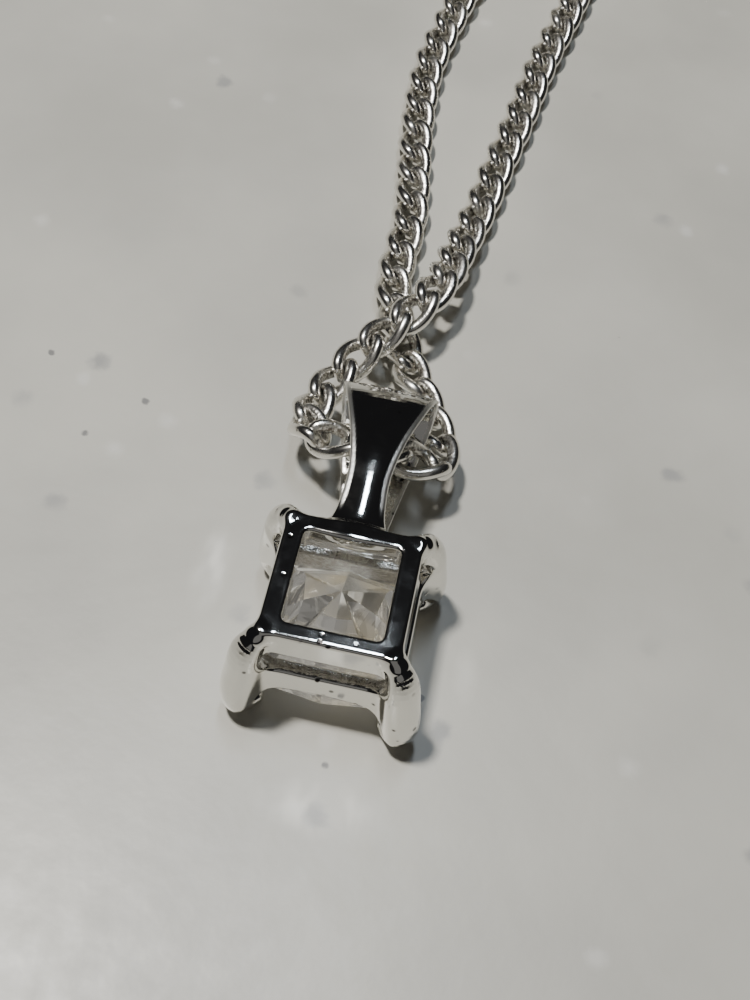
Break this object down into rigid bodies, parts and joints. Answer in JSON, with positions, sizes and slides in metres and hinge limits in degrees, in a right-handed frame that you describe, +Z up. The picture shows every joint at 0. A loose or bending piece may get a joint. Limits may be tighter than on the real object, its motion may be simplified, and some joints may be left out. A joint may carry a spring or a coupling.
{
  "type": "pendant necklace",
  "caption": "Necklace: square clear stone in an open two-rail basket with corner claws, hung by a folded tapering bail on a fine link chain with a spring ring clasp.",
  "frame": {"origin": "bottom centre of the pendant's own box, where its claw tips rest, the chain left out", "axes": "+Z up, out of the basket's open back; +Y from the stone to the bail's fold; X across the pendant and along the chain where it passes the bail"},
  "size_m": [0.0118, 0.0821, 0.0096],
  "materials": {
    "silver": "polished silver, lightly worn along the edges",
    "chain_silver": "polished silver links",
    "clasp_silver": "polished silver",
    "spring_steel": "bare spring wire",
    "stone": "clear square-cut stone with sharp facets"
  },
  "bodies": {
    "chain": {"left_chain_links": "chain_silver", "right_chain_links": "chain_silver", "chain_hank": "chain_silver", "left_end_link": "chain_silver", "right_end_link": "chain_silver"},
    "pendant": {"stone": "stone", "back_gallery_rail": "silver", "girdle_rail": "silver", "claw_rear_right": "silver", "claw_rear_left": "silver", "claw_front_left": "silver", "claw_front_right": "silver", "bail": "silver"},
    "clasp": {"spring_ring_case": "clasp_silver", "spring_ring_eye": "clasp_silver", "bolt_spring": "spring_steel"},
    "bolt": {"spring_ring_bolt": "clasp_silver"},
    "jump_ring": {"clasp_jump_ring": "clasp_silver"},
    "end_ring_body": {"end_ring": "clasp_silver"}
  },
  "joints": [
    {"name": "pendant_swing", "type": "hinge", "parent": "chain", "child": "pendant", "pos_m": [0, 0.00479, 0.0031], "axis": [1, 0, 0], "range_deg": [-115, 0]},
    {"name": "clasp_roll", "type": "hinge", "parent": "chain", "child": "clasp", "pos_m": [0.0006, 0.06046, 0.0084], "axis": [0, -1, 0], "range_deg": [-8, 3]},
    {"name": "bolt_pull", "type": "hinge", "parent": "clasp", "child": "bolt", "pos_m": [0.0006, 0.06046, 0.0084], "axis": [0, 0, 1], "range_deg": [-45, 0], "stiffness_Nm_per_rad": 0.0005, "springref_deg": 17.19, "deforming": ["bolt_spring"]},
    {"name": "jump_ring_roll", "type": "hinge", "parent": "chain", "child": "jump_ring", "pos_m": [0.0006, 0.05596, 0.0084], "axis": [0, -1, 0], "range_deg": [-5, 8]},
    {"name": "end_ring_roll", "type": "hinge", "parent": "chain", "child": "end_ring_body", "pos_m": [0.0006, 0.06301, 0.0084], "axis": [0, -1, 0], "range_deg": [-3, 8]}
  ]
}
